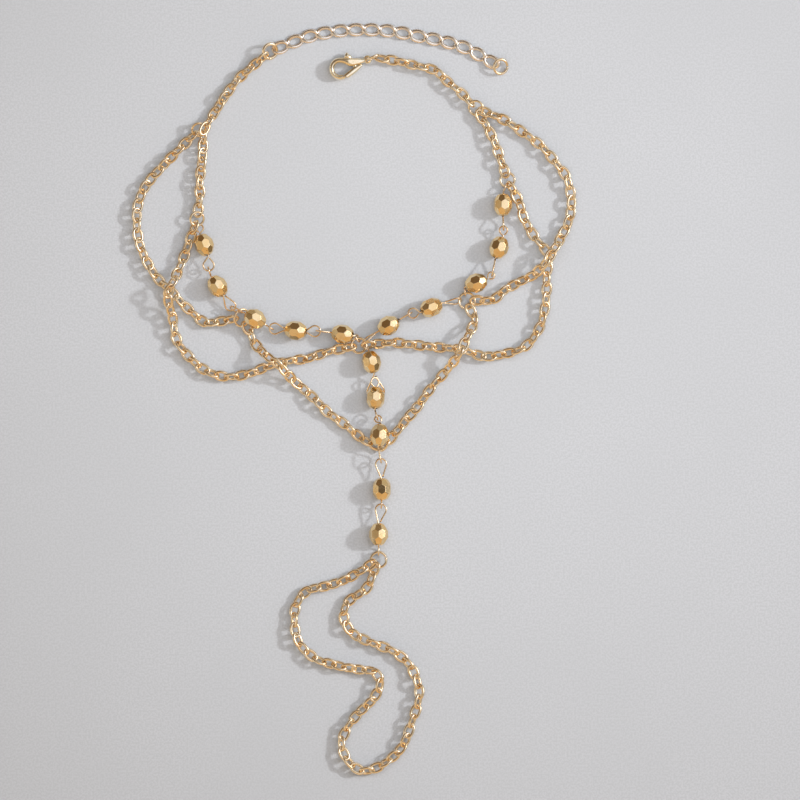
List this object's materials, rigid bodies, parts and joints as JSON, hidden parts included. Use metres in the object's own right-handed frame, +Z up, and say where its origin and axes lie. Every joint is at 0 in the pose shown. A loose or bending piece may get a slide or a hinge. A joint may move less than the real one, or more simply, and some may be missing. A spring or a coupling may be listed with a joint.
{
  "type": "beaded anklet with toe loop",
  "caption": "Ankle chain with a lobster clasp and extender, faceted bead strings, chain swags and a V of chain, and a bead string down the foot to a chain loop for the toe.",
  "frame": {"origin": "on the surface it lies on, under the middle of the bounding box", "axes": "+Y from the toe loop to the clasp, +X to the right seen from above, +Z up from the surface"},
  "size_m": [0.0987, 0.167, 0.0051],
  "materials": {
    "chain_gold": "polished gold plate",
    "pale_gold": "polished pale gold plate",
    "bead_gold": "polished antique gold, faceted",
    "pin_wire": "polished gold plate",
    "clasp_gold": "polished gold plate"
  },
  "bodies": {
    "anklet": {"clasp_body": "clasp_gold", "ring_clasp": "chain_gold", "ring_extender": "chain_gold", "ring_end": "chain_gold", "ring_swag_left": "chain_gold", "ring_swag_right": "chain_gold", "ring_left": "chain_gold", "ring_right": "chain_gold", "ring_lower_left": "chain_gold", "ring_lower_right": "chain_gold", "ring_centre": "chain_gold", "ring_toe": "chain_gold", "ankle_chain_right_upper": "chain_gold", "ankle_chain_right_lower": "chain_gold", "ankle_chain_left_upper": "chain_gold", "ankle_chain_left_lower": "chain_gold", "extender_chain": "pale_gold", "swag_outer_left": "chain_gold", "swag_outer_right": "chain_gold", "swag_inner_left": "chain_gold", "swag_inner_right": "chain_gold", "v_chain_left": "chain_gold", "v_chain_right": "chain_gold", "toe_loop": "chain_gold", "bead_left_1": "bead_gold", "bead_left_2": "bead_gold", "bead_left_3": "bead_gold", "bead_left_4": "bead_gold", "bead_left_5": "bead_gold", "bead_right_1": "bead_gold", "bead_right_2": "bead_gold", "bead_right_3": "bead_gold", "bead_right_4": "bead_gold", "bead_right_5": "bead_gold", "bead_foot_1": "bead_gold", "bead_foot_2": "bead_gold", "bead_foot_3": "bead_gold", "bead_foot_4": "bead_gold", "bead_foot_5": "bead_gold", "pin_left_1": "pin_wire", "pin_left_2": "pin_wire", "pin_left_3": "pin_wire", "pin_left_4": "pin_wire", "pin_left_5": "pin_wire", "pin_right_1": "pin_wire", "pin_right_2": "pin_wire", "pin_right_3": "pin_wire", "pin_right_4": "pin_wire", "pin_right_5": "pin_wire", "pin_foot_1": "pin_wire", "pin_foot_2": "pin_wire", "pin_foot_3": "pin_wire", "pin_foot_4": "pin_wire", "pin_foot_5": "pin_wire"},
    "lever": {"clasp_lever": "clasp_gold"}
  },
  "joints": [
    {"name": "clasp_lever_hinge", "type": "hinge", "parent": "anklet", "child": "lever", "pos_m": [0.00008, 0.07477, 0.0012], "axis": [0, 0, -1], "range_deg": [0, 25], "stiffness_Nm_per_rad": 0.002, "springref_deg": -11.46}
  ]
}
